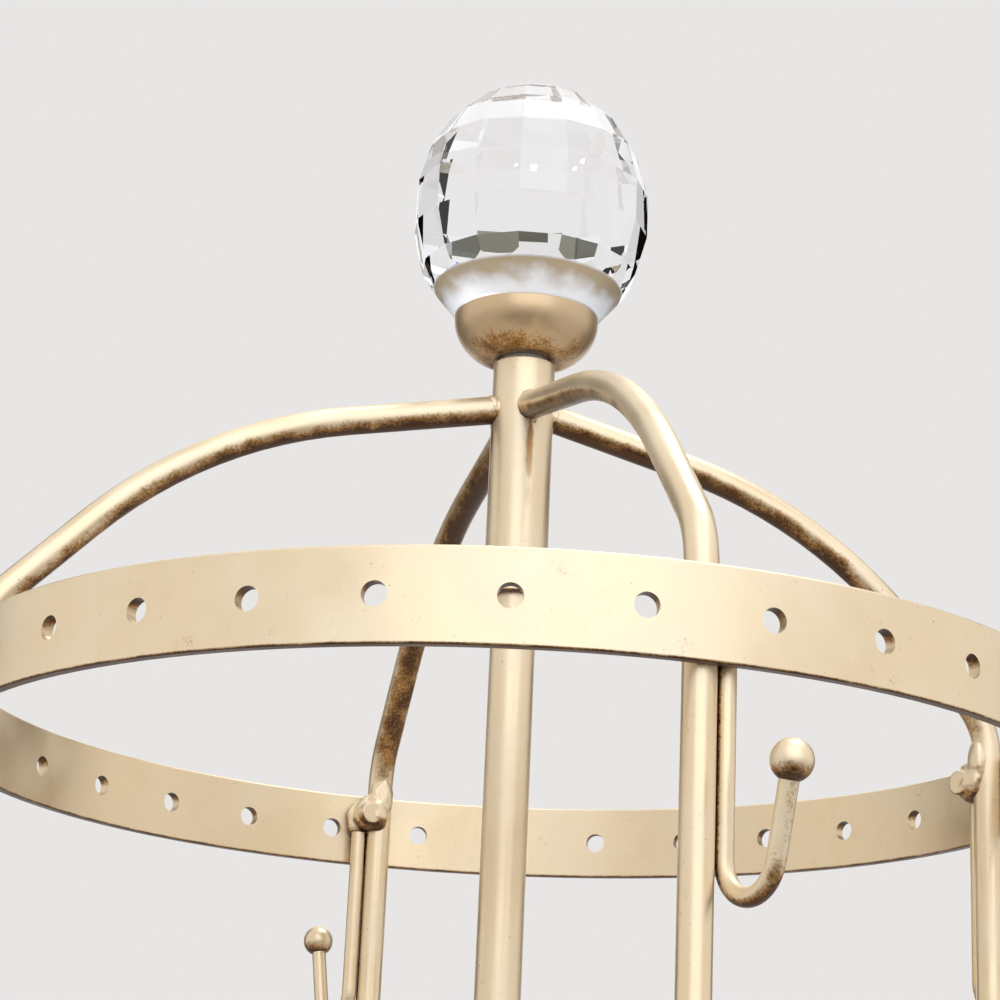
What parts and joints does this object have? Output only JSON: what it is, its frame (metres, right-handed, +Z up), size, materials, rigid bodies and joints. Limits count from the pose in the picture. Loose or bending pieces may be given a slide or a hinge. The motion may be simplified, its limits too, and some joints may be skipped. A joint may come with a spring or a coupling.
{
  "type": "jewellery stand with drawer",
  "caption": "Free-standing jewellery stand: a turning wire cage with perforated bands, ball-tipped hooks and a crystal finial over a case with one drawer.",
  "frame": {"origin": "centre of the bottom of the bounding box: on the surface that the feet stand on, under the centre post", "axes": "+Z up along the post, the drawer opens towards -Y, +X to the right of someone facing the drawer"},
  "size_m": [0.215, 0.215, 0.4381],
  "materials": {
    "gold_paint": "champagne gold metallic paint, satin, darker in the recesses",
    "cut_crystal": "clear cut crystal, polished facets",
    "zinc_steel": "zinc-plated",
    "nylon": "moulded, natural",
    "velvet": "short-pile velvet",
    "felt": "pressed felt"
  },
  "bodies": {
    "stand": {"centre_post": "gold_paint", "pivot_ball": "zinc_steel", "post_flange": "gold_paint", "post_washer": "zinc_steel", "post_nut": "zinc_steel", "top_plate": "gold_paint", "front_frame": "gold_paint", "side_panel_left": "gold_paint", "side_panel_right": "gold_paint", "back_panel": "gold_paint", "floor_plate": "gold_paint", "runner_left": "nylon", "runner_right": "nylon", "drawer_bumpers": "felt", "drawer_stop": "gold_paint", "foot_front_left": "gold_paint", "foot_front_right": "gold_paint", "foot_back_left": "gold_paint", "foot_back_right": "gold_paint", "foot_screws": "zinc_steel"},
    "cage": {"crystal_finial": "cut_crystal", "finial_cup": "gold_paint", "finial_screw": "zinc_steel", "finial_spacer": "zinc_steel", "pivot_plug": "nylon", "hub_sleeve": "gold_paint", "top_band": "gold_paint", "lower_band": "gold_paint", "lower_hub": "gold_paint", "lower_bush": "nylon", "cage_rod_front": "gold_paint", "hook_front": "gold_paint", "hook_ball_front": "gold_paint", "lower_spoke_front": "gold_paint", "cage_rod_right": "gold_paint", "hook_right": "gold_paint", "hook_ball_right": "gold_paint", "lower_spoke_right": "gold_paint", "cage_rod_back": "gold_paint", "hook_back": "gold_paint", "hook_ball_back": "gold_paint", "lower_spoke_back": "gold_paint", "cage_rod_left": "gold_paint", "hook_left": "gold_paint", "hook_ball_left": "gold_paint", "lower_spoke_left": "gold_paint"},
    "drawer": {"drawer_front": "gold_paint", "drawer_tray": "gold_paint", "drawer_pad": "velvet", "knob_cup": "gold_paint", "drawer_knob": "cut_crystal", "knob_screw": "zinc_steel"}
  },
  "joints": [
    {"name": "cage_spin", "type": "hinge", "parent": "stand", "child": "cage", "pos_m": [0, 0, 0.24], "axis": [0, 0, 1], "continuous": true},
    {"name": "drawer_slide", "type": "slide", "parent": "stand", "child": "drawer", "axis": [0, -1, 0], "range_m": [0, 0.125]}
  ]
}
